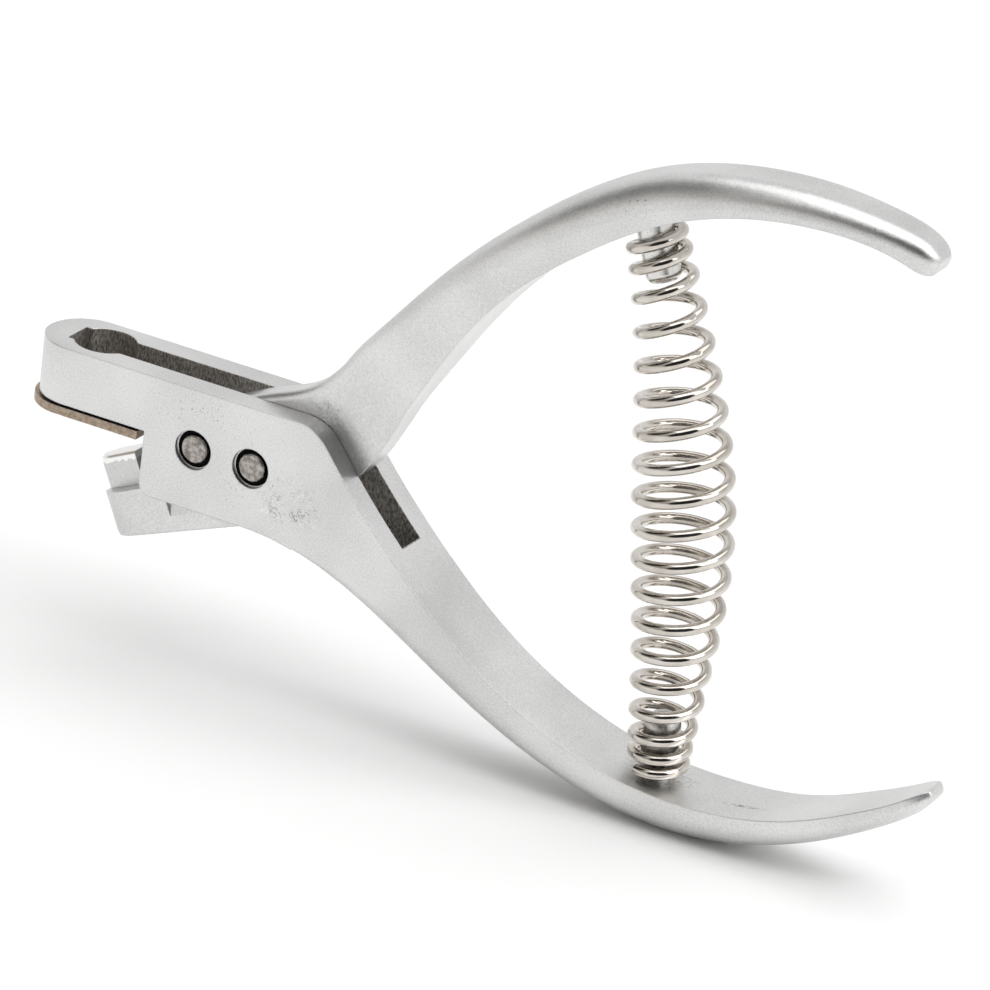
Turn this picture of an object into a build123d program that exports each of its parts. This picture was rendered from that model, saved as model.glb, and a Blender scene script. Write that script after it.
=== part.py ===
"""Hand-held plier punch: a frame casting with the nose and the lower handle, and a lever casting with
the upper handle and the punch jaw, turning on one pin and pushed open by a barrel spring.

Millimetres, +Z up, nose towards -X, handles towards +X, pins along Y. The tool stands in its working
position with the origin under the middle of its box, at the lowest point of the lower handle.
Side outlines are written from the pivot pin's centre, so (0, 0) in them is the pin's axis."""
from build123d import *
from math import cos, pi, radians, sin
import os

# ---- place of the pivot pin in the part's frame
PIVOT_X = -43.27
PIVOT_Z = 34.44

# ---- driving sizes
BODY_HALF = 6.25         # half the width of the castings
SLOT_HALF = 2.55         # half the slot that runs through the frame
PLATE_HALF = 2.45        # half the lever's middle plate, which runs in that slot
SQUEEZE = 26.0           # degrees the lever turns from open to closed
NOSE_TIP = -28.0
NOSE_TOP = 9.0
NOSE_UNDER = 0.5
CHEEK_FRONT = -8.0
CHEEK_UNDER = -9.0
CHEEK_ROUND = 1.8
THROUGH = 20.0           # cuts that pass right through are made this deep on each side
SLOT_FRONT = -23.7       # blind front end of the slot in the nose
SLOT_REAR = [(45, 14), (32.4, -6.1), (30.7, -8.1), (27.0, -9.6), (21.0, -9.6), (21.0, -14)]
CHIP_HOLE_X = -18.95     # round opening where the punchings leave
CHIP_HOLE_R = 4.5

NECK_ROUND = 1.1         # rounding of the lever's upper edges where it leaves the slot
TIP_ROUND = 0.5          # rounding of the handles' tips

PIN_R = 2.05
PIN_SPACING = 9.26       # pivot pin to limit pin
PIN_HALF = 6.0           # pins end a little below the cheeks' faces
PIN_CHAMFER = 0.2
PIN_RING_R = 2.9         # counterbore round each pin's end
PIN_RING_DEPTH = 0.8
RUNNING = 0.05           # radial clearance of the lever on the pivot pin
LIMIT_PLAY = 0.15        # play of the limit pin in its curved slot

SPACER_THICK = 0.45
DIE_THICK = 1.25
DIE_TIP = -28.7
DIE_REAR = -9.2
DIE_PLAY = 0.3           # between the punch and the die hole
RIVET_R = 0.8
RIVET_HEAD_R = 1.4
RIVET_DEPTH = 3.5
RIVET_PLACES = [(-26.0, 0), (-11.2, 4.15), (-11.2, -4.15)]

PUNCH_FRONT = -19.2      # closed position, as are all the jaw's sizes
PUNCH_REAR = -12.3
PUNCH_TOP = 0.6
PUNCH_BEVEL = 0.3
SHELF = -4.15            # top of the jaw, which the punch stands on
JAW_HALF = 5.1           # half the width of the jaw
JAW_FRONT = -19.6
JAW_TOE = -10.4          # underside of the jaw at its front
JAW_TOE_ROUND = 2.6
JAW_LIP_ROUND = 0.9
JAW_BACK = [(-0.85, SHELF), (8.27, -8.15), (6.55, -11.65)]
JAW_HEEL = (3.5, -12.1)
ARM_TOP = 5.15
HUB_BACK = (-6.6, 1.4)
THROAT_X = -8.6          # front of the lever's plate between its hub and the jaw
RELIEF_START = -7.75     # step on the jaw's sides, in line with the cheeks' front when closed
RELIEF_HALF = 4.3        # half the jaw's width behind the step
RELIEF_FOOT = -6.2       # the step is full width down to here and runs out at the next height
RELIEF_END = -9.0
POCKET_HALF = 5.25       # half the pocket between the cheeks, which the jaw swings into
POCKET_FRONT = -9.0
POCKET_REAR = 12.4
POCKET_TOP = -3.3
BELOW = -14.0            # clear of the underside of both the cheeks and the jaw

PUNCH_SHANK_HALF = 1.5
PUNCH_SHANK_FRONT = -16.7
PUNCH_SHANK_END = -7.5
SCREW_X = -14.5
SCREW_R = 1.25
SCREW_HEAD_R = 2.1
SCREW_SEAT = -9.2        # underside of the jaw is about -10.4 here
SCREW_HEAD_THICK = 1.15
SCREW_GRIP = 2.8         # length of the screw inside the punch
SCREW_HOLE_DEPTH = 3.0
SOCKET_R = 1.0
SOCKET_DEPTH = 0.8

STUD_R = 2.55            # studs on the handles that hold the spring's ends
STUD_SHANK_R = 1.5
STUD_SHANK_LENGTH = 2.4
UPPER_STUD = (62.55, 50.2)
UPPER_STUD_WAY = (0.33, -0.944)
LOWER_STUD = (73.75, -28.05)
LOWER_STUD_WAY = (0.0, 1.0)

WIRE_R = 0.83
SPRING_TURNS = 18.6
SPRING_START = -116.0    # degrees round the spring where the lower end of the wire is cut
SPRING_TOP = 49.15       # height of the wire's ends above the pivot
SPRING_FOOT = -26.8
SPRING_END_R = 3.6       # mean coil radius at the ends and at the middle
SPRING_MID_R = 6.4
LEAN_START = -9.5        # the spring is upright below this height and leans back above it
LEAN = 0.00315           # lean of the centre line, in millimetres for each square millimetre of height
END_PITCH = 2.0
FOOT_TURNS = 4.2         # turns over which the pitch opens up at the foot and at the top
HEAD_TURNS = 3.2
STEPS_PER_TURN = 12

DIE_TOP = NOSE_UNDER - SPACER_THICK
TURN = radians(SQUEEZE)
PIVOT = Vector(PIVOT_X, 0, PIVOT_Z)
SIDE = Plane(origin=PIVOT, x_dir=(1, 0, 0), z_dir=(0, -1, 0))
PLAN = Plane(origin=PIVOT, x_dir=(1, 0, 0), z_dir=(0, 0, 1))
JAW_SIDE = Plane(origin=PIVOT, x_dir=(cos(TURN), 0, sin(TURN)), z_dir=(0, -1, 0))
JAW_PLAN = Plane(origin=PIVOT, x_dir=(cos(TURN), 0, sin(TURN)), z_dir=(-sin(TURN), 0, cos(TURN)))


def from_closed(x, z):
    """A side-outline point of the closed lever, turned back to where it is with the handles open."""
    return (x * cos(TURN) - z * sin(TURN), x * sin(TURN) + z * cos(TURN))


def handle_section(inner, outer, half_width, corner):
    """One cross-section of a handle: flat inner face, outer corners rounded."""
    start = PIVOT + Vector(inner[0], 0, inner[1])
    across = Vector(outer[0] - inner[0], 0, outer[1] - inner[1])
    plane = Plane(origin=start, x_dir=(0, 1, 0), z_dir=Vector(0, 1, 0).cross(across))
    with BuildSketch(plane) as section:
        with Locations((0, across.length / 2)):
            Rectangle(2 * half_width, across.length)
        fillet(section.vertices().group_by(Axis.Y)[-1], corner)
    return section


# Stations along each handle: inner point, outer point, half width, radius of the outer corners.
LOWER_HANDLE = [
    ((24, 2.5), (17, -10.0), 6.25, 0.4),
    ((29.2, -3.2), (24, -12.6), 6.25, 1.2),
    ((35.2, -9.0), (31.5, -16.8), 6.25, 2.4),
    ((45, -17.0), (42, -23.3), 6.25, 3.6),
    ((58, -24.2), (56, -30.1), 6.25, 4.2),
    ((72, -28.0), (71.5, -34.1), 6.25, 4.6),
    ((84, -28.3), (84.8, -33.8), 6.1, 4.4),
    ((96, -26.0), (98, -29.6), 5.3, 3.2),
    ((105, -22.0), (106.9, -24.7), 4.7, 2.3),
    ((110.6, -18.9), (112.2, -21.1), 3.9, 1.8),
    ((113.4, -17.1), (114.6, -18.8), 2.9, 1.3),
    ((114.6, -16.5), (115.3, -17.5), 1.9, 0.8),
]
UPPER_HANDLE = [
    ((29.174, 10.826), (19.8, 17.7), 2.45, NECK_ROUND),
    ((33, 18.3), (25.3, 25.2), 3.6, 1.8),
    ((38.5, 27.6), (32.3, 33.8), 5.0, 2.8),
    ((46, 37.2), (41, 43.0), 5.9, 3.8),
    ((55, 45.1), (51.5, 51.6), 6.0, 4.4),
    ((66, 52.5), (64, 58.5), 6.0, 4.4),
    ((76, 56.4), (75.3, 61.2), 5.9, 3.7),
    ((86, 58.0), (86.4, 61.9), 5.3, 3.0),
    ((95, 57.7), (95.6, 61.1), 4.5, 2.4),
    ((100.4, 56.3), (101.4, 59.8), 3.8, 2.0),
    ((103.1, 55.3), (104.0, 58.4), 2.9, 1.6),
    ((104.2, 55.4), (104.8, 57.3), 1.9, 1.0),
]


def handle_sections(stations):
    """All the cross-sections of one handle, from its root to its tip."""
    return [handle_section(*station).sketch.face() for station in stations]


def stud(foot, direction, sink, length, rounding):
    """A pressed-in spring stud: shank in the handle, round peg with a rounded end inside the spring."""
    axis = Vector(direction[0], 0, direction[1]).normalized()
    plane = Plane(origin=PIVOT + Vector(foot[0], 0, foot[1]), x_dir=Vector(0, 1, 0), z_dir=axis)
    profile_plane = Plane(origin=plane.origin, x_dir=plane.x_dir, z_dir=-plane.y_dir)
    with BuildPart() as peg:
        with BuildSketch(profile_plane):
            with BuildLine():
                Polyline(
                    (0, length), (0, -sink - STUD_SHANK_LENGTH), (STUD_SHANK_R, -sink - STUD_SHANK_LENGTH),
                    (STUD_SHANK_R, -sink), (STUD_R, -sink), (STUD_R, length - rounding),
                )
                CenterArc((STUD_R - rounding, length - rounding), rounding, 0, 90)
                Line((STUD_R - rounding, length), (0, length))
            make_face()
        revolve(axis=Axis(plane.origin, axis))
    return peg


def spring_axis(z):
    """Centre line of the spring: upright at its foot, leaning back towards the upper handle."""
    return Vector(LOWER_STUD[0] - LEAN * max(0.0, z - LEAN_START) ** 2, 0, z)


def spring_path():
    """Points along the wire: a barrel-shaped coil round the spring's centre line, closing at its ends."""
    count = int(SPRING_TURNS * STEPS_PER_TURN)
    turns = [i / STEPS_PER_TURN for i in range(count + 1)]
    ease = [min(1.0, n / FOOT_TURNS, (turns[-1] - n) / HEAD_TURNS) for n in turns]
    ease = [e * e * (3 - 2 * e) for e in ease]
    end_step = END_PITCH / STEPS_PER_TURN
    extra = (SPRING_TOP - SPRING_FOOT - end_step * count) / sum(ease[1:])
    points = []
    height = SPRING_FOOT
    for i, n in enumerate(turns):
        if i:
            height += end_step + extra * ease[i]
        along = (spring_axis(height + 0.5) - spring_axis(height - 0.5)).normalized()
        radius = SPRING_END_R + (SPRING_MID_R - SPRING_END_R) * sin(pi * n / turns[-1]) ** 2
        angle = 2 * pi * n + radians(SPRING_START)
        outwards = Vector(along.Z, 0, -along.X) * cos(angle) + Vector(0, 1, 0) * sin(angle)
        points.append(PIVOT + spring_axis(height) + outwards * radius)
    return points


upper_spring_stud = stud(UPPER_STUD, UPPER_STUD_WAY, sink=1.1, length=8.0, rounding=1.3)
upper_spring_stud.part.label = "upper_spring_stud"
lower_spring_stud = stud(LOWER_STUD, LOWER_STUD_WAY, sink=0.5, length=9.4, rounding=2.2)
lower_spring_stud.part.label = "lower_spring_stud"

with BuildPart() as die_rivets:
    with BuildSketch(PLAN.offset(DIE_TOP - DIE_THICK)):
        with Locations(*RIVET_PLACES):
            Circle(RIVET_R)
    extrude(amount=DIE_THICK + SPACER_THICK + RIVET_DEPTH)
    with BuildSketch(PLAN.offset(DIE_TOP - DIE_THICK)):
        with Locations(*RIVET_PLACES):
            Circle(RIVET_HEAD_R)
    extrude(amount=RIVET_HEAD_R - RIVET_R, taper=45)
die_rivets.part.label = "die_rivets"


with BuildPart() as frame_casting:
    with BuildSketch(SIDE) as body_side:
        with BuildLine():
            top = Line((NOSE_TIP, NOSE_TOP), (15.6, NOSE_TOP))
            shoulder = TangentArc(top @ 1, (20.6, 6.6), tangent=(1, 0))
            slope = Line(shoulder @ 1, LOWER_HANDLE[0][0])
            joint_line = Line(slope @ 1, LOWER_HANDLE[0][1])
            TangentArc((9.0, CHEEK_UNDER), joint_line @ 1, tangent=(1, 0))
            Line((CHEEK_FRONT, CHEEK_UNDER), (9.0, CHEEK_UNDER))
            front = Line((CHEEK_FRONT, CHEEK_UNDER), (CHEEK_FRONT, NOSE_UNDER))
            Line(front @ 1, (NOSE_TIP, NOSE_UNDER))
            Line((NOSE_TIP, NOSE_UNDER), (NOSE_TIP, NOSE_TOP))
        make_face()
        fillet(body_side.vertices().sort_by_distance((CHEEK_FRONT, CHEEK_UNDER))[0], CHEEK_ROUND)
    extrude(amount=BODY_HALF, both=True)
    loft(sections=handle_sections(LOWER_HANDLE))
    fillet(frame_casting.faces().sort_by(Axis.X)[-1].edges(), TIP_ROUND)
    # the nose ends in a half round
    with BuildSketch(PLAN.offset(-60)):
        with Locations((NOSE_TIP + BODY_HALF, 0)):
            Circle(BODY_HALF)
        with Locations((NOSE_TIP + BODY_HALF + 100, 0)):
            Rectangle(200, 2 * BODY_HALF)
    extrude(amount=120, mode=Mode.INTERSECT)
    # slot for the lever's plate, through the nose, the cheeks and the root of the lower handle
    with BuildSketch(SIDE):
        Polygon((SLOT_FRONT, 14), *SLOT_REAR, (SLOT_FRONT, -14), align=None)
    extrude(amount=SLOT_HALF, both=True, mode=Mode.SUBTRACT)
    with BuildSketch(PLAN):
        with Locations((CHIP_HOLE_X, 0)):
            Circle(CHIP_HOLE_R)
    extrude(amount=THROUGH, both=True, mode=Mode.SUBTRACT)
    # pocket between the cheeks that the jaw swings into
    with BuildSketch(SIDE):
        Polygon(
            (POCKET_FRONT, POCKET_TOP), (POCKET_REAR, POCKET_TOP), (POCKET_REAR, BELOW),
            (POCKET_FRONT, BELOW), align=None,
        )
    extrude(amount=POCKET_HALF, both=True, mode=Mode.SUBTRACT)
    # pin holes with a counterbore at each end
    with BuildSketch(SIDE):
        with Locations((0, 0), (PIN_SPACING, 0)):
            Circle(PIN_R)
    extrude(amount=THROUGH, both=True, mode=Mode.SUBTRACT)
    for face_y in (BODY_HALF, -BODY_HALF):
        with BuildSketch(SIDE.offset(face_y)):
            with Locations((0, 0), (PIN_SPACING, 0)):
                Circle(PIN_RING_R)
        extrude(amount=-PIN_RING_DEPTH if face_y > 0 else PIN_RING_DEPTH, mode=Mode.SUBTRACT)
    # blind holes for the die rivets, and the seat of the lower spring stud
    with BuildSketch(PLAN.offset(NOSE_UNDER)):
        with Locations(*RIVET_PLACES):
            Circle(RIVET_R)
    extrude(amount=RIVET_DEPTH, mode=Mode.SUBTRACT)
    add(lower_spring_stud.part, mode=Mode.SUBTRACT)
frame_casting.part.label = "frame_casting"


JAW_X = JAW_PLAN.x_dir
with BuildPart() as jaw:
    with BuildSketch(JAW_SIDE) as jaw_outline:
        Polygon((JAW_FRONT, SHELF), *JAW_BACK, JAW_HEEL, (JAW_FRONT, JAW_TOE), align=None)
        fillet(jaw_outline.vertices().sort_by_distance((JAW_FRONT, JAW_TOE))[0], JAW_TOE_ROUND)
        fillet(jaw_outline.vertices().sort_by_distance((JAW_FRONT, SHELF))[0], JAW_LIP_ROUND)
    extrude(amount=JAW_HALF, both=True)
    with BuildSketch(JAW_PLAN.offset(-30)):
        with Locations((JAW_FRONT + JAW_HALF, 0)):
            Circle(JAW_HALF)
        with Locations((JAW_FRONT + JAW_HALF + 30, 0)):
            Rectangle(60, 2 * JAW_HALF)
    extrude(amount=60, mode=Mode.INTERSECT)
    # shallow relief on both sides, running out towards the jaw's underside
    with BuildSketch(Plane(origin=PIVOT + JAW_X * RELIEF_START, x_dir=(0, 1, 0), z_dir=JAW_X)):
        Polygon(
            (RELIEF_HALF, 0), (RELIEF_HALF, RELIEF_FOOT), (JAW_HALF, RELIEF_END),
            (THROUGH, RELIEF_END), (THROUGH, 0), align=None,
        )
        mirror(about=Plane.YZ)
    extrude(amount=30, mode=Mode.SUBTRACT)

limit_track = CenterArc((0, 0), PIN_SPACING, -0.5, SQUEEZE + 1.0)

with BuildPart() as lever_casting:
    with BuildSketch(SIDE.offset(-PLATE_HALF)):
        with BuildLine():
            arm_end = from_closed(10.0, ARM_TOP)
            neck = Spline(
                UPPER_HANDLE[0][1], (15, 12.8), arm_end,
                tangents=[(-6.874, -9.374), (-cos(TURN), -sin(TURN))],
            )
            arm = Line(neck @ 1, from_closed(-3.0, ARM_TOP))
            hub = Line(arm @ 1, from_closed(*HUB_BACK))
            throat = Line(hub @ 1, from_closed(THROAT_X, SHELF))
            inside = Line(throat @ 1, from_closed(THROAT_X, -8.0))
            buried = Line(inside @ 1, from_closed(*JAW_HEEL))
            belly = Spline(
                buried @ 1, (13.0, -5.9), (18.5, -2.3), (24.4, 2.4), UPPER_HANDLE[0][0],
                tangents=[(1.0, 0.36), (4.3, 8.4)],
            )
            Line(belly @ 1, neck @ 0)
        make_face()
    extrude(amount=2 * PLATE_HALF)
    curved_edges = lever_casting.edges().filter_by(GeomType.LINE, reverse=True)
    fillet(curved_edges.sort_by_distance(PIVOT + Vector(15, 0, 12.8))[:2], NECK_ROUND)
    loft(sections=handle_sections(UPPER_HANDLE))
    fillet(lever_casting.faces().sort_by(Axis.X)[-1].edges(), TIP_ROUND)
    add(jaw.part)
    # bearing hole, and the curved slot that the limit pin runs in
    with BuildSketch(SIDE):
        Circle(PIN_R + RUNNING)
        SlotArc(limit_track, 2 * (PIN_R + LIMIT_PLAY))
    extrude(amount=THROUGH, both=True, mode=Mode.SUBTRACT)
    # seat of the punch and its screw
    with BuildSketch(JAW_PLAN.offset(PUNCH_SHANK_END)):
        with Locations(((PUNCH_SHANK_FRONT + PUNCH_REAR) / 2, 0)):
            Rectangle(PUNCH_REAR - PUNCH_SHANK_FRONT, 2 * PUNCH_SHANK_HALF)
    extrude(amount=SHELF - PUNCH_SHANK_END, mode=Mode.SUBTRACT)
    with BuildSketch(JAW_PLAN.offset(BELOW)):
        with Locations((SCREW_X, 0)):
            Circle(SCREW_R)
    extrude(amount=PUNCH_SHANK_END - BELOW, mode=Mode.SUBTRACT)
    with BuildSketch(JAW_PLAN.offset(BELOW)):
        with Locations((SCREW_X, 0)):
            Circle(SCREW_HEAD_R)
    extrude(amount=SCREW_SEAT - BELOW, mode=Mode.SUBTRACT)
    add(upper_spring_stud.part, mode=Mode.SUBTRACT)
lever_casting.part.label = "lever_casting"

with BuildPart() as punch:
    with BuildSketch(JAW_PLAN.offset(SHELF)):
        with Locations((PUNCH_FRONT + PLATE_HALF, 0)):
            Circle(PLATE_HALF)
        with Locations(((PUNCH_FRONT + PLATE_HALF + PUNCH_REAR) / 2, 0)):
            Rectangle(PUNCH_REAR - PUNCH_FRONT - PLATE_HALF, 2 * PLATE_HALF)
    extrude(amount=PUNCH_TOP - SHELF)
    with BuildSketch(JAW_PLAN.offset(PUNCH_SHANK_END)):
        with Locations(((PUNCH_SHANK_FRONT + PUNCH_REAR) / 2, 0)):
            Rectangle(PUNCH_REAR - PUNCH_SHANK_FRONT, 2 * PUNCH_SHANK_HALF)
    extrude(amount=SHELF - PUNCH_SHANK_END)
    top_face = punch.faces().sort_by(Axis((0, 0, 0), JAW_PLAN.z_dir))[-1]
    chamfer(top_face.edges().sort_by(Axis((0, 0, 0), JAW_X))[:-1], PUNCH_BEVEL)
    with BuildSketch(JAW_PLAN.offset(PUNCH_SHANK_END)):
        with Locations((SCREW_X, 0)):
            Circle(SCREW_R)
    extrude(amount=SCREW_HOLE_DEPTH, mode=Mode.SUBTRACT)
punch.part.label = "punch"

with BuildPart() as punch_screw:
    with BuildSketch(JAW_PLAN.offset(SCREW_SEAT - SCREW_HEAD_THICK)):
        with Locations((SCREW_X, 0)):
            Circle(SCREW_HEAD_R)
    extrude(amount=SCREW_HEAD_THICK)
    with BuildSketch(JAW_PLAN.offset(SCREW_SEAT)):
        with Locations((SCREW_X, 0)):
            Circle(SCREW_R)
    extrude(amount=PUNCH_SHANK_END + SCREW_GRIP - SCREW_SEAT)
    with BuildSketch(JAW_PLAN.offset(SCREW_SEAT - SCREW_HEAD_THICK)):
        with Locations((SCREW_X, 0)):
            RegularPolygon(SOCKET_R, 6)
    extrude(amount=SOCKET_DEPTH, mode=Mode.SUBTRACT)
punch_screw.part.label = "punch_screw"


def plate_outline(tip, rear, half_width):
    """Plan of the die plate and its spacer: straight sides and a half-round front."""
    with Locations((tip + half_width, 0)):
        Circle(half_width)
    with Locations(((tip + half_width + rear) / 2, 0)):
        Rectangle(rear - tip - half_width, 2 * half_width)


with BuildPart() as die_spacer:
    with BuildSketch(PLAN.offset(DIE_TOP)):
        plate_outline(NOSE_TIP + 0.5, DIE_REAR - 0.4, BODY_HALF - 0.5)
        with Locations(((SLOT_FRONT + DIE_REAR) / 2, 0)):
            Rectangle(DIE_REAR - SLOT_FRONT, 2 * SLOT_HALF, mode=Mode.SUBTRACT)
        with Locations((CHIP_HOLE_X, 0)):
            Circle(CHIP_HOLE_R, mode=Mode.SUBTRACT)
        with Locations(*RIVET_PLACES):
            Circle(RIVET_R, mode=Mode.SUBTRACT)
    extrude(amount=SPACER_THICK)
die_spacer.part.label = "die_spacer"

with BuildPart() as die_plate:
    with BuildSketch(PLAN.offset(DIE_TOP)):
        plate_outline(DIE_TIP, DIE_REAR, BODY_HALF)
    extrude(amount=-DIE_THICK)
    with BuildSketch(PLAN.offset(DIE_TOP)):
        with Locations((PUNCH_FRONT + PLATE_HALF, 0)):
            Circle(PLATE_HALF + DIE_PLAY)
        with Locations(((PUNCH_FRONT + PLATE_HALF + PUNCH_REAR + DIE_PLAY) / 2, 0)):
            Rectangle(PUNCH_REAR + DIE_PLAY - PUNCH_FRONT - PLATE_HALF, 2 * (PLATE_HALF + DIE_PLAY))
    extrude(amount=-DIE_THICK, mode=Mode.SUBTRACT)
    add(die_rivets.part, mode=Mode.SUBTRACT)
die_plate.part.label = "die_plate"


def pin(x):
    """A plain steel pin through both cheeks, its ends lightly chamfered."""
    with BuildPart() as round_pin:
        with BuildSketch(SIDE):
            with Locations((x, 0)):
                Circle(PIN_R)
        extrude(amount=PIN_HALF, both=True)
        chamfer(round_pin.edges().filter_by(GeomType.CIRCLE), PIN_CHAMFER)
    return round_pin


pivot_pin = pin(0)
pivot_pin.part.label = "pivot_pin"
limit_pin = pin(PIN_SPACING)
limit_pin.part.label = "limit_pin"

with BuildPart() as return_spring:
    wire = Spline(*spring_path())
    with BuildSketch(Plane(origin=wire @ 0, z_dir=wire % 0)):
        Circle(WIRE_R)
    sweep(path=wire)
return_spring.part.label = "return_spring"

if __name__ == "__main__":
    os.makedirs("parts", exist_ok=True)
    for piece in (
        frame_casting, lever_casting, punch, punch_screw, die_plate, die_spacer, die_rivets,
        pivot_pin, limit_pin, upper_spring_stud, lower_spring_stud, return_spring,
    ):
        export_step(piece.part, f"parts/{piece.part.label}.step")
        box = piece.part.bounding_box()
        print(piece.part.label, box.min, box.max, round(piece.part.volume, 1), len(piece.solids()))
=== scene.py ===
"""Finishes and studio for a hand-held plier punch: satin nickel castings, a bright barrel spring between
the handles, a browned die plate under the nose, and cropped steel pins. Lengths are in metres."""
from math import cos, pi, radians, sin

import bpy
from mathutils import Matrix, Vector


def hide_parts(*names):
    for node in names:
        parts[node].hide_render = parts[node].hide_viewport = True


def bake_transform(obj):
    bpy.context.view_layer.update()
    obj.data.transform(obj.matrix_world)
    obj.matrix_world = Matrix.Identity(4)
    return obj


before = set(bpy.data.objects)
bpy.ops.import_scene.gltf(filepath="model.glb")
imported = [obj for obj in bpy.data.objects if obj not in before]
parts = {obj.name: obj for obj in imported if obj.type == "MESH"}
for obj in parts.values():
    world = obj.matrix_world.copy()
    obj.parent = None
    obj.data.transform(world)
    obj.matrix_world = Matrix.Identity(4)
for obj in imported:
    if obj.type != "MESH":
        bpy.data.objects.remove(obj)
bpy.context.view_layer.update()

MM = 0.001
PIVOT = Vector((-43.27, 0, 34.44)) * MM      # centre of the pivot pin, which side outlines start from
LEVER_OPEN = 26.0                            # degrees the lever stands open
CUTTING_EDGE = 0.6 * MM                      # the punch's edge over the pivot, with the lever closed

# colours of the plate and its wear, of the painted highlight and painted shade lines along its edges, and
# of the painted shade in its holes, slots and pin grooves, then of bare steel and spring wire
PLATE_DULL = (0.59, 0.59, 0.585, 1)
PLATE_BRIGHT = (0.77, 0.77, 0.765, 1)
SPECK = (0.20, 0.20, 0.20, 1)
DIRT = (0.15, 0.145, 0.14, 1)
BRIGHT_SCRATCH = (0.95, 0.95, 0.95, 1)
DARK_SCRATCH = (0.30, 0.30, 0.30, 1)
# painted shade lines and painted highlight along the casting edges
EDGE_SHADE_LINE = (0.28, 0.28, 0.28, 1)
EDGE_HIGHLIGHT = (0.92, 0.92, 0.92, 1)
# painted shade inside the holes and slots of the frame casting
HOLLOW_SHADE_DARK = (0.20, 0.185, 0.17, 1)
HOLLOW_SHADE_LIGHT = (0.66, 0.64, 0.61, 1)
# near-black painted shade for the ring grooves round the pins
GROOVE_SHADE_BLACK = (0.006, 0.006, 0.006, 1)
STEEL_PIT = (0.05, 0.045, 0.04, 1)
GROUND_STEEL = (0.93, 0.93, 0.92, 1)
WIRE_WARM = (0.54, 0.50, 0.45, 1)
WIRE_BRIGHT = (0.68, 0.645, 0.60, 1)
WIRE_SPECK = (0.25, 0.22, 0.19, 1)


def at(x, y, z):
    """A place given in millimetres from the pivot pin's centre."""
    return PIVOT + Vector((x, y, z)) * MM


# ---------------------------------------------------------------- shader building blocks

def add(tree, kind, inputs=None, **settings):
    """One node with its settings, and each input either a value or a link from another socket."""
    made = tree.nodes.new(kind)
    for key, value in settings.items():
        setattr(made, key, value)
    for key, value in (inputs or {}).items():
        if isinstance(value, bpy.types.NodeSocket):
            tree.links.new(value, made.inputs[key])
        else:
            made.inputs[key].default_value = value
    return made


def maths(tree, operation, first, second=0.0, third=0.0, clamp=False):
    """A number worked out from others."""
    inputs = {0: first, 1: second, 2: third}
    return add(tree, "ShaderNodeMath", inputs, operation=operation, use_clamp=clamp).outputs[0]


def vectors(tree, operation, first, second, output="Vector"):
    """A vector, or the number it comes down to, worked out from two others."""
    return add(tree, "ShaderNodeVectorMath", {0: first, 1: second}, operation=operation).outputs[output]


def remap(tree, value, low, high, to_low=0.0, to_high=1.0):
    """A value moved from one range to another, smoothly and kept within it."""
    made = add(
        tree, "ShaderNodeMapRange", {0: value, 1: low, 2: high, 3: to_low, 4: to_high},
        interpolation_type="SMOOTHSTEP",
    )
    return made.outputs[0]


def mix(tree, share, first, second):
    """One colour laid over another by a mask."""
    made = add(tree, "ShaderNodeMix", {0: share, 6: first, 7: second}, data_type="RGBA")
    return made.outputs[2]


def noise(tree, vector, scale, detail=3.0, roughness=0.55, distortion=0.0):
    """A cloudy value from 0 to 1."""
    made = add(
        tree, "ShaderNodeTexNoise",
        {"Vector": vector, "Scale": scale, "Detail": detail, "Roughness": roughness,
         "Distortion": distortion},
    )
    return made.outputs[0]


def length(tree, vector):
    """How long a vector is."""
    return vectors(tree, "LENGTH", vector, (0, 0, 0), "Value")


def dot(tree, first, second):
    """How far two vectors point the same way."""
    return vectors(tree, "DOT_PRODUCT", first, second, "Value")


def times(tree, first, second):
    """Two numbers or masks multiplied."""
    return maths(tree, "MULTIPLY", first, second)


def own_place(tree):
    """Where a point lies on the piece itself, so that a finish stays put as the piece moves."""
    return add(tree, "ShaderNodeTexCoord").outputs["Object"]


def new_group(name, inputs, outputs):
    """An empty shader group with named sockets. Gives its tree, its input sockets and its output node."""
    tree = bpy.data.node_groups.new(name, "ShaderNodeTree")
    kinds = {float: "NodeSocketFloat", tuple: "NodeSocketVector"}
    for label, value in inputs.items():
        socket = tree.interface.new_socket(label, in_out="INPUT", socket_type=kinds[type(value)])
        socket.default_value = value
    for label, kind in outputs.items():
        tree.interface.new_socket(label, in_out="OUTPUT", socket_type=kinds[kind])
    return tree, add(tree, "NodeGroupInput").outputs, add(tree, "NodeGroupOutput")


def put(tree, group, **values):
    """A group placed in a material with its own values. Socket names have spaces where these have _."""
    inputs = {key.replace("_", " "): value for key, value in values.items()}
    made = tree.nodes.new("ShaderNodeGroup")
    made.node_tree = group
    for key, value in inputs.items():
        if isinstance(value, bpy.types.NodeSocket):
            tree.links.new(value, made.inputs[key])
        else:
            made.inputs[key].default_value = value
    return made.outputs


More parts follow.
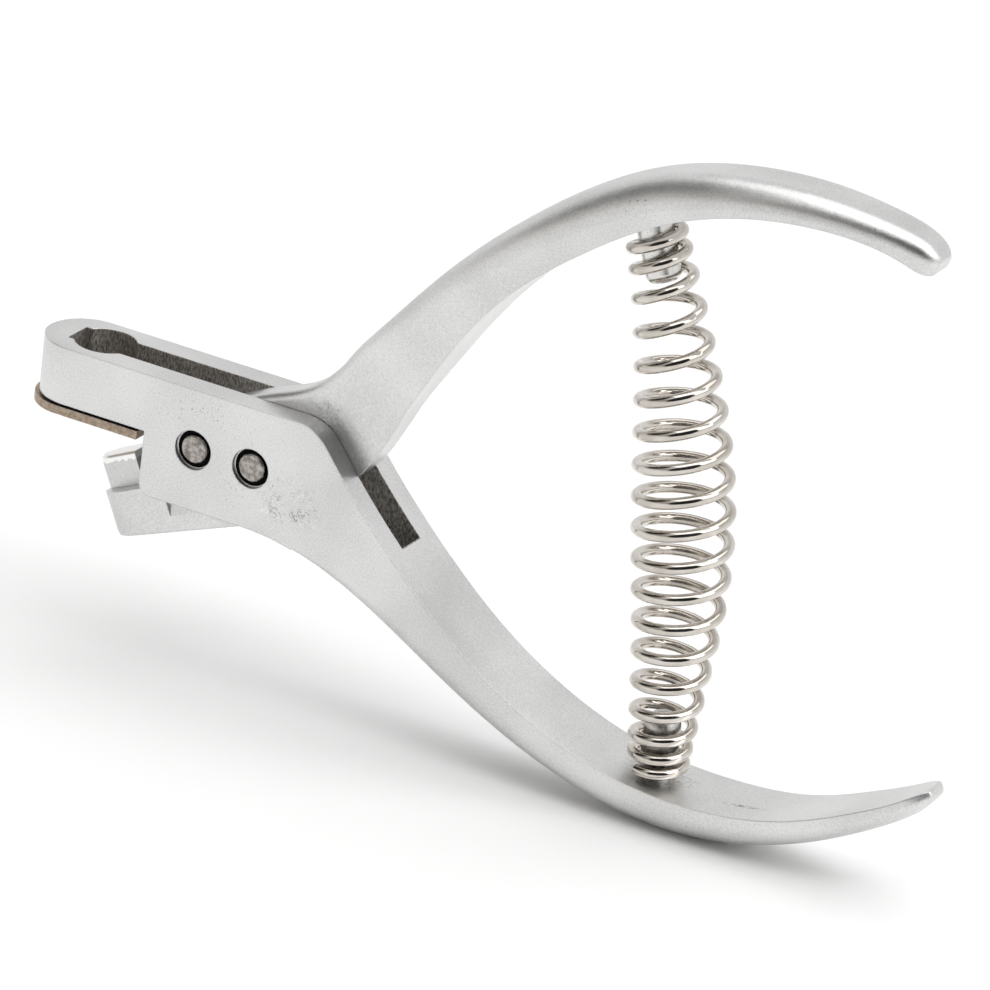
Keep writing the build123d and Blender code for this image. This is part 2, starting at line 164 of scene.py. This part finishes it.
def make_satin_grain():
    """Fine satin grain of a plated casting, its slow drift in tone, and small dark specks."""
    tree, given, out = new_group(
        "satin grain", {"Grain size": 0.0002, "Speck size": 0.0003},
        {"Height": float, "Tone": float, "Specks": float},
    )
    place = own_place(tree)
    grain_scale = maths(tree, "DIVIDE", 1.0, given["Grain size"])
    grain = noise(tree, place, grain_scale, 3.0, 0.6)
    swell = noise(tree, place, times(tree, grain_scale, 0.15), 2.0, 0.5)
    slow = noise(tree, place, 60.0, 2.0, 0.5)
    tone = maths(tree, "MULTIPLY_ADD", grain, 0.55, times(tree, slow, 0.45))
    speck_scale = maths(tree, "DIVIDE", 1.0, given["Speck size"])
    specks = remap(tree, noise(tree, place, speck_scale, 2.0, 0.6), 0.62, 0.74)
    tree.links.new(maths(tree, "MULTIPLY_ADD", swell, 0.9, grain), out.inputs["Height"])
    tree.links.new(tone, out.inputs["Tone"])
    tree.links.new(specks, out.inputs["Specks"])
    return tree


def make_worn_edge():
    """Edges softened by polishing: where they are, how nicked they are, and their rounded normal."""
    tree, given, out = new_group(
        "worn edge", {"Radius": 0.0003, "Nick size": 0.0012},
        {"Edge": float, "Nicks": float, "Normal": tuple},
    )
    rounded = add(tree, "ShaderNodeBevel", {"Radius": given["Radius"]}, samples=6).outputs[0]
    flat = add(tree, "ShaderNodeNewGeometry").outputs["Normal"]
    edge = remap(tree, dot(tree, rounded, flat), 0.99, 0.85)
    nick_scale = maths(tree, "DIVIDE", 1.0, given["Nick size"])
    chips = noise(tree, own_place(tree), nick_scale, 3.0, 0.7)
    nicks = times(tree, edge, remap(tree, chips, 0.60, 0.70))
    tree.links.new(edge, out.inputs["Edge"])
    tree.links.new(nicks, out.inputs["Nicks"])
    tree.links.new(rounded, out.inputs["Normal"])
    return tree


def make_patch():
    """A soft-edged patch round one place, for a smudge or a scuffed spot."""
    tree, given, out = new_group(
        "patch", {"Centre": (0.0, 0.0, 0.0), "Reach": (0.01, 0.01, 0.01), "Softness": 0.5,
                  "Raggedness": 0.2},
        {"Mask": float},
    )
    place = own_place(tree)
    offset = vectors(tree, "SUBTRACT", place, given["Centre"])
    distance = length(tree, vectors(tree, "DIVIDE", offset, given["Reach"]))
    wander = maths(tree, "SUBTRACT", noise(tree, place, 700.0, 4.0, 0.65), 0.5)
    wander = times(tree, wander, times(tree, given["Raggedness"], 4.0))
    inside = maths(tree, "SUBTRACT", 1.0, maths(tree, "ADD", distance, wander))
    mask = maths(tree, "DIVIDE", inside, given["Softness"], clamp=True)
    tree.links.new(mask, out.inputs["Mask"])
    return tree


def make_well():
    """The inside of a round hole: within a radius of its axis and below the face it opens in."""
    tree, given, out = new_group(
        "well", {"Centre": (0.0, 0.0, 0.0), "Across": (1.0, 1.0, 0.0), "Radius": 0.001, "Depth": 0.001},
        {"Mask": float},
    )
    offset = vectors(tree, "SUBTRACT", own_place(tree), given["Centre"])
    sideways = vectors(tree, "MULTIPLY", offset, given["Across"])
    lengthways = vectors(tree, "SUBTRACT", offset, sideways)
    near = maths(tree, "LESS_THAN", length(tree, sideways), given["Radius"])
    below = maths(tree, "LESS_THAN", length(tree, lengthways), given["Depth"])
    tree.links.new(times(tree, near, below), out.inputs["Mask"])
    return tree


def make_trench():
    """The inside of a straight-sided slot, between two opposite corners of a box."""
    tree, given, out = new_group(
        "trench", {"Centre": (0.0, 0.0, 0.0), "Half size": (0.01, 0.01, 0.01)}, {"Mask": float},
    )
    offset = vectors(tree, "SUBTRACT", own_place(tree), given["Centre"])
    spare = vectors(tree, "SUBTRACT", given["Half size"], vectors(tree, "ABSOLUTE", offset, (0, 0, 0)))
    sides = add(tree, "ShaderNodeSeparateXYZ", {0: spare}).outputs
    least = maths(tree, "MINIMUM", maths(tree, "MINIMUM", sides[0], sides[1]), sides[2])
    tree.links.new(maths(tree, "GREATER_THAN", least, 0.0), out.inputs["Mask"])
    return tree


def make_scratches():
    """Fine curling scratches, wandering lines that break up along their length."""
    tree, given, out = new_group(
        "scratches", {"Spacing": 0.0012, "Width": 0.1}, {"Lines": float},
    )
    place = own_place(tree)
    scale = maths(tree, "DIVIDE", 1.0, given["Spacing"])
    bent = noise(tree, place, scale, 2.0, 0.5, 1.5)
    line = maths(tree, "ABSOLUTE", maths(tree, "SUBTRACT", bent, 0.5))
    line = maths(tree, "DIVIDE", line, times(tree, given["Width"], 0.2))
    line = maths(tree, "SUBTRACT", 1.0, line, clamp=True)
    gaps = remap(tree, noise(tree, place, times(tree, scale, 0.6), 2.0), 0.45, 0.6)
    tree.links.new(times(tree, line, gaps), out.inputs["Lines"])
    return tree


SATIN_GRAIN = make_satin_grain()
WORN_EDGE = make_worn_edge()
PATCH = make_patch()
WELL = make_well()
TRENCH = make_trench()
SCRATCHES = make_scratches()


def new_metal(name):
    """An empty material: its tree and its one metal shader."""
    material = bpy.data.materials.new(name)
    material.use_nodes = True
    tree = material.node_tree
    tree.nodes.clear()
    shader = add(tree, "ShaderNodeBsdfPrincipled", {"Metallic": 1.0})
    out = add(tree, "ShaderNodeOutputMaterial")
    tree.links.new(shader.outputs[0], out.inputs[0])
    return material, tree, shader


def bumped(tree, height, depth, normal=None):
    """The surface normal tipped by a height pattern of this depth."""
    inputs = {"Strength": 1.0, "Distance": depth, "Height": height}
    if normal is not None:
        inputs["Normal"] = normal
    return add(tree, "ShaderNodeBump", inputs).outputs[0]


def any_of(tree, masks):
    """Several masks as one."""
    total = 0.0
    for mask in masks:
        total = maths(tree, "MAXIMUM", total, mask)
    return total


def patches(tree, places):
    """Soft patches as one mask. Each is centre, reach, softness and raggedness."""
    masks = []
    for centre, reach, soft, ragged in places:
        reach = Vector(reach) * MM
        patch = put(tree, PATCH, Centre=at(*centre), Reach=reach, Softness=soft, Raggedness=ragged)
        masks.append(patch["Mask"])
    return any_of(tree, masks)


def wells(tree, places):
    """Round holes as one mask. Each is centre, directions across its axis, radius and half depth."""
    masks = []
    for centre, across, radius, depth in places:
        well = put(tree, WELL, Centre=at(*centre), Across=across, Radius=radius * MM, Depth=depth * MM)
        masks.append(well["Mask"])
    return any_of(tree, masks)


def trenches(tree, places):
    """Slots as one mask. Each is one corner of its box and the opposite corner."""
    masks = []
    for low, high in places:
        middle = (Vector(low) + Vector(high)) / 2
        half = (Vector(high) - Vector(low)) / 2
        masks.append(put(tree, TRENCH, Centre=at(*middle), Half_size=half * MM)["Mask"])
    return any_of(tree, masks)


# ---------------------------------------------------------------- finishes

def satin_casting(name, holes, slots, shaded_grooves, smudges, scuffs, speckled, ripples, ripple_way):
    """Satin nickel plate over a die casting, darkened inside its holes, slots and pin grooves by painted
    shade.
    """
    material, tree, shader = new_metal(name)
    grain = put(tree, SATIN_GRAIN, Grain_size=0.26 * MM, Speck_size=0.36 * MM)
    edge = put(tree, WORN_EDGE, Radius=0.3 * MM, Nick_size=0.7 * MM)
    place = own_place(tree)
    colour = mix(tree, remap(tree, grain["Tone"], 0.35, 0.65), PLATE_DULL, PLATE_BRIGHT)
    # specks everywhere, more of them where it has been handled and knocked
    worn = maths(tree, "MULTIPLY_ADD", patches(tree, speckled), 0.75, 0.13)
    colour = mix(tree, times(tree, grain["Specks"], worn), colour, SPECK)
    dirt_film = remap(tree, noise(tree, place, 1500.0, 4.0, 0.7), 0.44, 0.60)
    dirt = times(tree, patches(tree, smudges), dirt_film)
    colour = mix(tree, times(tree, dirt, 0.7), colour, DIRT)
    scuffed = patches(tree, scuffs)
    bright_lines = times(tree, put(tree, SCRATCHES, Spacing=1.4 * MM, Width=0.18)["Lines"], scuffed)
    dark_lines = times(tree, put(tree, SCRATCHES, Spacing=1.7 * MM, Width=0.12)["Lines"], scuffed)
    colour = mix(tree, times(tree, bright_lines, 0.9), colour, BRIGHT_SCRATCH)
    colour = mix(tree, times(tree, dark_lines, 0.6), colour, DARK_SCRATCH)
    # painted highlight along the edges between two thin lines of painted shade, with a few dark nicks
    fringe = times(tree, edge["Edge"], maths(tree, "SUBTRACT", 1.0, edge["Edge"]))
    colour = mix(tree, maths(tree, "MULTIPLY", fringe, 2.2, clamp=True), colour, EDGE_SHADE_LINE)
    colour = mix(tree, times(tree, edge["Edge"], 0.6), colour, EDGE_HIGHLIGHT)
    colour = mix(tree, times(tree, edge["Nicks"], 0.75), colour, SPECK)
    # painted shade on the walls of the holes and slots, streaked from top to bottom
    hollow_shade_mask = maths(tree, "MAXIMUM", wells(tree, holes), trenches(tree, slots))
    hollow_grain = noise(tree, vectors(tree, "MULTIPLY", place, (1.0, 1.0, 0.4)), 3600.0, 4.0, 0.75)
    hollow_shade_colour = mix(tree, remap(tree, hollow_grain, 0.34, 0.66), HOLLOW_SHADE_DARK, HOLLOW_SHADE_LIGHT)
    colour = mix(tree, hollow_shade_mask, colour, hollow_shade_colour)
    # near-black painted shade in the ring grooves round the pins
    groove_shade = wells(tree, shaded_grooves)
    colour = mix(tree, groove_shade, colour, GROOVE_SHADE_BLACK)
    tree.links.new(colour, shader.inputs["Base Color"])
    rough = remap(tree, grain["Tone"], 0.3, 0.7, 0.31, 0.39)
    rough = maths(tree, "MULTIPLY_ADD", maths(tree, "MAXIMUM", hollow_shade_mask, groove_shade), 0.2, rough)
    tree.links.new(rough, shader.inputs["Roughness"])
    cut = add(
        tree, "ShaderNodeTexWave",
        {"Vector": vectors(tree, "MULTIPLY", place, ripple_way), "Scale": 260.0, "Distortion": 2.5,
         "Detail": 2.0},
        wave_type="BANDS", bands_direction="DIAGONAL",
    ).outputs["Fac"]
    cut = times(tree, cut, patches(tree, ripples))
    height = maths(tree, "MULTIPLY_ADD", cut, 0.6, grain["Height"])
    height = maths(tree, "MULTIPLY_ADD", bright_lines, 1.5, height)
    height = maths(tree, "MULTIPLY_ADD", dark_lines, -1.5, height)
    height = maths(tree, "MULTIPLY_ADD", times(tree, hollow_shade_mask, hollow_grain), 3.0, height)
    tree.links.new(bumped(tree, height, 0.024 * MM, edge["Normal"]), shader.inputs["Normal"])
    return material


def plain_steel(name, dark, light, roughness, grain_size, depth, edge_colour):
    """Bare or browned steel: mottled tone, fine specks and rubbed edges."""
    material, tree, shader = new_metal(name)
    grain = put(tree, SATIN_GRAIN, Grain_size=grain_size * MM, Speck_size=0.3 * MM)
    edge = put(tree, WORN_EDGE, Radius=0.2 * MM, Nick_size=0.5 * MM)
    mottle = noise(tree, own_place(tree), 1300.0, 4.0, 0.65)
    colour = mix(tree, remap(tree, mottle, 0.38, 0.62), (*dark, 1), (*light, 1))
    colour = mix(tree, times(tree, grain["Specks"], 0.5), colour, STEEL_PIT)
    rubbed = times(tree, edge["Edge"], remap(tree, mottle, 0.3, 0.6, 0.3, 1.0))
    colour = mix(tree, rubbed, colour, (*edge_colour, 1))
    tree.links.new(colour, shader.inputs["Base Color"])
    tree.links.new(
        remap(tree, mottle, 0.3, 0.7, roughness - 0.06, roughness + 0.08), shader.inputs["Roughness"],
    )
    tree.links.new(bumped(tree, grain["Height"], depth * MM, edge["Normal"]), shader.inputs["Normal"])
    return material


def ground_punch_steel():
    """Pale satin steel, ground bright in a ragged band below the cutting edge."""
    material, tree, shader = new_metal("ground punch steel")
    grain = put(tree, SATIN_GRAIN, Grain_size=0.25 * MM, Speck_size=0.4 * MM)
    edge = put(tree, WORN_EDGE, Radius=0.2 * MM, Nick_size=0.6 * MM)
    place = own_place(tree)
    lean = radians(LEVER_OPEN)
    along_punch = Vector((-sin(lean), 0.0, cos(lean)))
    upwards = dot(tree, place, along_punch)
    edge_height = PIVOT.dot(along_punch) + CUTTING_EDGE
    below_edge = maths(tree, "SUBTRACT", edge_height, upwards)
    rough_line = times(tree, noise(tree, place, 1400.0, 3.0, 0.6), 1.0 * MM)
    band = maths(tree, "LESS_THAN", maths(tree, "ADD", below_edge, rough_line), 1.5 * MM)
    tone = remap(tree, grain["Tone"], 0.35, 0.65)
    colour = mix(tree, tone, (0.58, 0.58, 0.575, 1), (0.70, 0.70, 0.69, 1))
    colour = mix(tree, band, colour, GROUND_STEEL)
    colour = mix(tree, times(tree, grain["Specks"], 0.3), colour, SPECK)
    tree.links.new(colour, shader.inputs["Base Color"])
    shader.inputs["Roughness"].default_value = 0.33
    height = maths(tree, "MULTIPLY_ADD", band, 1.5, grain["Height"])
    tree.links.new(bumped(tree, height, 0.016 * MM, edge["Normal"]), shader.inputs["Normal"])
    return material


def bright_wire():
    """Bright nickel-plated wire with faint drawing marks and a warm tint."""
    material, tree, shader = new_metal("bright nickel wire")
    place = own_place(tree)
    film = noise(tree, place, 260.0, 2.0)
    colour = mix(tree, remap(tree, film, 0.3, 0.7), WIRE_WARM, WIRE_BRIGHT)
    specks = remap(tree, noise(tree, place, 3200.0, 2.0, 0.6), 0.68, 0.76)
    colour = mix(tree, times(tree, specks, 0.5), colour, WIRE_SPECK)
    tree.links.new(colour, shader.inputs["Base Color"])
    tree.links.new(remap(tree, film, 0.3, 0.7, 0.08, 0.15), shader.inputs["Roughness"])
    tree.links.new(bumped(tree, noise(tree, place, 1500.0, 2.0), 0.006 * MM), shader.inputs["Normal"])
    return material


# Places on the castings, in millimetres from the pivot pin's centre.
NEAR_CHEEK = -6.25
NEAR_PLATE = -2.45
# ring grooves round the pivot and limit pins, where near-black painted shade goes
PIN_WELLS = [((x, 0, 0), (1, 0, 1), 2.76, 6.2) for x in (0, 9.26)]
# the chip hole and the lever slot, where painted shade goes
CHIP_HOLE = ((-18.95, 0, 4.0), (1, 1, 0), 4.62, 4.97)
LEVER_SLOT = ((-23.8, -2.6, -9.8), (32.4, 2.6, 8.97))

FRAME_CASTING = satin_casting(
    "satin nickel, frame",
    holes=[CHIP_HOLE],
    slots=[LEVER_SLOT],
    shaded_grooves=PIN_WELLS,
    smudges=[
        ((73.8, 0, -28.5), (6.5, 5.0, 2.0), 0.8, 0.25),
        ((88.0, -1.5, -27.8), (4.0, 0.5, 1.5), 0.7, 0.5),
    ],
    scuffs=[((15.8, NEAR_CHEEK, -3.2), (6.0, 1.0, 4.4), 0.4, 0.3)],
    speckled=[
        ((1.0, NEAR_CHEEK, 5.5), (13.0, 2.0, 3.5), 0.9, 0.2),
        ((8.0, NEAR_CHEEK, -3.5), (6.0, 2.0, 3.0), 0.9, 0.2),
    ],
    ripples=[((42.0, 0, -14.0), (11.0, 8.0, 7.0), 0.6, 0.1)],
    ripple_way=(1.0, 0.3, 1.0),
)
LEVER_CASTING = satin_casting(
    "satin nickel, lever",
    holes=[],
    slots=[],
    shaded_grooves=[],
    smudges=[((63.0, 0.0, 50.8), (4.0, 4.0, 2.0), 0.8, 0.3)],
    scuffs=[((18.0, NEAR_PLATE, 9.5), (3.0, 1.0, 3.0), 0.5, 0.3)],
    speckled=[
        ((62.0, -5.5, 54.5), (9.0, 3.0, 3.5), 0.9, 0.3),
        ((95.0, -4.0, 59.5), (9.0, 3.0, 2.0), 0.9, 0.3),
    ],
    ripples=[((19.0, NEAR_PLATE, 9.5), (6.0, 3.0, 5.0), 0.6, 0.1)],
    ripple_way=(1.0, 0.2, 1.0),
)
PIN_STEEL = plain_steel(
    "cropped pin steel", dark=(0.22, 0.20, 0.18), light=(0.50, 0.47, 0.44), roughness=0.4,
    grain_size=0.25, depth=0.03, edge_colour=(0.66, 0.64, 0.61),
)
SCREW_STEEL = plain_steel(
    "socket screw steel", dark=(0.20, 0.19, 0.18), light=(0.34, 0.33, 0.31), roughness=0.38,
    grain_size=0.2, depth=0.01, edge_colour=(0.6, 0.6, 0.58),
)
DIE_STEEL = plain_steel(
    "browned die steel", dark=(0.28, 0.215, 0.16), light=(0.45, 0.365, 0.29), roughness=0.42,
    grain_size=0.2, depth=0.02, edge_colour=(0.74, 0.70, 0.65),
)
# the spacer's near-black colour is painted shade for the deep gap between the nose and the die plate
SHADE_BLACK_SHIM = plain_steel(
    "shim painted black as gap shade", dark=(0.012, 0.012, 0.012), light=(0.03, 0.03, 0.03), roughness=0.6,
    grain_size=0.3, depth=0.01, edge_colour=(0.05, 0.05, 0.05),
)
RIVET_STEEL = plain_steel(
    "rivet steel", dark=(0.28, 0.25, 0.22), light=(0.45, 0.42, 0.38), roughness=0.4,
    grain_size=0.2, depth=0.015, edge_colour=(0.7, 0.68, 0.66),
)
BRIGHT_STUD = plain_steel(
    "turned stud steel", dark=(0.68, 0.67, 0.65), light=(0.76, 0.75, 0.73), roughness=0.20,
    grain_size=0.5, depth=0.002, edge_colour=(0.9, 0.9, 0.89),
)
DULL_STUD = plain_steel(
    "dull stud steel", dark=(0.40, 0.39, 0.37), light=(0.60, 0.59, 0.57), roughness=0.32,
    grain_size=0.3, depth=0.01, edge_colour=(0.8, 0.79, 0.78),
)
finishes = {
    "frame_casting": FRAME_CASTING,
    "lever_casting": LEVER_CASTING,
    "punch": ground_punch_steel(),
    "punch_screw": SCREW_STEEL,
    "die_plate": DIE_STEEL,
    "die_spacer": SHADE_BLACK_SHIM,
    "die_rivets": RIVET_STEEL,
    "pivot_pin": PIN_STEEL,
    "limit_pin": PIN_STEEL,
    "upper_spring_stud": BRIGHT_STUD,
    "lower_spring_stud": DULL_STUD,
}
for name, finish in finishes.items():
    for held in parts[name].material_slots:
        held.material = finish


# ---------------------------------------------------------------- the spring

WIRE = 0.83 * MM            # radius of the wire
TURNS = 18.6
CUT_END = radians(-116.0)   # where round the spring the lower end of the wire is cut
SPRING_TOP = 49.15
SPRING_FOOT = -26.8
END_COIL = 3.6              # mean coil radius at the ends and at the middle, in millimetres
MID_COIL = 6.4
END_PITCH = 2.0
FOOT_TURNS = 4.2            # turns over which the coils open up at the foot and at the top
HEAD_TURNS = 3.2
STEPS = 40                  # points in a turn
FOOT_X = 73.75
LEAN_START = -9.5           # the spring is upright below this height and leans back above it
LEAN = 0.00315              # lean of the centre line for each square millimetre of height


def spring_line(z):
    """Centre line of the spring: upright at its foot, leaning back towards the upper handle."""
    return Vector((FOOT_X - LEAN * max(0.0, z - LEAN_START) ** 2, 0, z))


def spring_wire():
    """Points along the wire: a barrel-shaped coil with closed end turns."""
    count = int(TURNS * STEPS)
    turns = [i / STEPS for i in range(count + 1)]
    ease = [min(1.0, n / FOOT_TURNS, (turns[-1] - n) / HEAD_TURNS) for n in turns]
    ease = [e * e * (3 - 2 * e) for e in ease]
    end_step = END_PITCH / STEPS
    extra = (SPRING_TOP - SPRING_FOOT - end_step * count) / sum(ease[1:])
    height = SPRING_FOOT
    for i, n in enumerate(turns):
        if i:
            height += end_step + extra * ease[i]
        along = (spring_line(height + 0.5) - spring_line(height - 0.5)).normalized()
        radius = END_COIL + (MID_COIL - END_COIL) * sin(pi * n / turns[-1]) ** 2
        angle = 2 * pi * n + CUT_END
        outwards = Vector((along.z, 0, -along.x)) * cos(angle) + Vector((0, 1, 0)) * sin(angle)
        yield PIVOT + (spring_line(height) + outwards * radius) * MM


def round_wire(material):
    """Turns a bare line into round wire with square-cut ends. It follows the line, so the wire keeps
    its thickness however far the spring is pressed."""
    tree = bpy.data.node_groups.new("round wire", "GeometryNodeTree")
    tree.interface.new_socket("Line", in_out="INPUT", socket_type="NodeSocketGeometry")
    tree.interface.new_socket("Wire", in_out="OUTPUT", socket_type="NodeSocketGeometry")
    given = add(tree, "NodeGroupInput").outputs[0]
    line = add(tree, "GeometryNodeMeshToCurve", {"Mesh": given}).outputs[0]
    ring = add(tree, "GeometryNodeCurvePrimitiveCircle", {"Resolution": 20, "Radius": WIRE}).outputs[0]
    tube = add(
        tree, "GeometryNodeCurveToMesh", {"Curve": line, "Profile Curve": ring, "Fill Caps": True},
    ).outputs[0]
    angle = add(tree, "GeometryNodeInputMeshEdgeAngle").outputs["Unsigned Angle"]
    corner = add(tree, "FunctionNodeCompare", {0: angle, 1: 0.8}, operation="GREATER_THAN").outputs[0]
    smooth = add(
        tree, "GeometryNodeSetShadeSmooth",
        {"Geometry": tube, "Selection": corner, "Shade Smooth": False}, domain="EDGE",
    ).outputs[0]
    wire = add(tree, "GeometryNodeSetMaterial", {"Geometry": smooth, "Material": material}).outputs[0]
    out = add(tree, "NodeGroupOutput")
    tree.links.new(wire, out.inputs[0])
    return tree


def coil_spring():
    """The return spring as a line of points with round wire grown on it."""
    points = list(spring_wire())
    mesh = bpy.data.meshes.new("coil_spring")
    mesh.from_pydata(points, [(i, i + 1) for i in range(len(points) - 1)], [])
    spring = bpy.data.objects.new("coil_spring", mesh)
    bpy.context.scene.collection.objects.link(spring)
    material = bright_wire()
    mesh.materials.append(material)
    spring.modifiers.new("round wire", "NODES").node_group = round_wire(material)
    return spring


spring = coil_spring()
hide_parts("return_spring")
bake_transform(spring)


# ---------------------------------------------------------------- studio

def studio_floor():
    """A wide pale floor."""
    material, tree, shader = new_metal("white floor")
    shader.inputs["Metallic"].default_value = 0.0
    shader.inputs["Base Color"].default_value = (0.95, 0.95, 0.95, 1)
    shader.inputs["Roughness"].default_value = 0.9
    shader.inputs["Specular IOR Level"].default_value = 0.1
    mesh = bpy.data.meshes.new("studio_floor")
    half = 6.0
    corners = [(-half, -half, 0), (half, -half, 0), (half, half, 0), (-half, half, 0)]
    mesh.from_pydata(corners, [], [(0, 1, 2, 3)])
    floor = bpy.data.objects.new("studio_floor", mesh)
    mesh.materials.append(material)
    bpy.context.scene.collection.objects.link(floor)


def softbox(name, place, size, power):
    """A soft square lamp turned towards the tool."""
    lamp = bpy.data.lights.new(name, "AREA")
    lamp.shape = "RECTANGLE"
    lamp.size, lamp.size_y = size
    lamp.energy = power
    held = bpy.data.objects.new(name, lamp)
    held.location = place
    towards = Vector((0, 0, 0.05)) - Vector(place)
    held.rotation_mode = "QUATERNION"
    held.rotation_quaternion = towards.to_track_quat("-Z", "Y")
    bpy.context.scene.collection.objects.link(held)


def studio_air():
    """White surroundings behind the tool, a grey room in front, and two dark gaps in it."""
    world = bpy.data.worlds.new("studio")
    bpy.context.scene.world = world
    world.use_nodes = True
    tree = world.node_tree
    tree.nodes.clear()
    way = add(tree, "ShaderNodeTexCoord").outputs["Generated"]
    sky_height = dot(tree, way, (0.0, 0.0, 1.0))
    behind = mix(tree, remap(tree, sky_height, 0.35, 0.65), (0.92, 0.92, 0.92, 1), (0.60, 0.60, 0.60, 1))
    room = mix(tree, remap(tree, sky_height, 0.0, 0.35), (1.20, 1.19, 1.17, 1), (0.42, 0.40, 0.37, 1))
    room = mix(tree, remap(tree, sky_height, 0.5, 0.8), room, (0.85, 0.85, 0.85, 1))
    front = remap(tree, dot(tree, way, (0.0, -1.0, 0.0)), -0.15, 0.35)
    colour = mix(tree, front, behind, room)
    gaps = []
    for middle, rim, core in (((0.39, -0.83, 0.40), 0.74, 0.86), ((-0.72, -0.22, 0.66), 0.88, 0.97)):
        facing = dot(tree, way, Vector(middle).normalized())
        gaps.append(remap(tree, facing, rim, core))
    colour = mix(tree, any_of(tree, gaps), colour, (0.03, 0.03, 0.03, 1))
    air = add(tree, "ShaderNodeBackground", {"Color": colour, "Strength": 1.0})
    out = add(tree, "ShaderNodeOutputWorld")
    tree.links.new(air.outputs[0], out.inputs[0])


def camera():
    """A long lens, a little above the tool and to the right of it."""
    lens = bpy.data.cameras.new("camera")
    lens.sensor_width = 36.0
    lens.lens = 246.75
    lens.clip_start = 0.05
    lens.clip_end = 50.0
    held = bpy.data.objects.new("camera", lens)
    right = Vector((0.87467, 0.47105, 0.11429))
    up = Vector((-0.28130, 0.30128, 0.91109))
    back = Vector((0.39473, -0.82906, 0.39603))
    turn = Matrix((right, up, back)).transposed().to_4x4()
    held.matrix_world = Matrix.Translation((0.36823, -0.7716, 0.40774)) @ turn
    bpy.context.scene.collection.objects.link(held)
    bpy.context.scene.camera = held


studio_floor()
softbox("overhead softbox", (0.15, 0.1, 1.3), (1.8, 1.8), 12.5)
softbox("right softbox", (1.0, -0.1, 0.9), (0.9, 0.9), 5.0)
studio_air()
camera()
bpy.context.scene.view_settings.view_transform = "Standard"

bpy.context.view_layer.update()
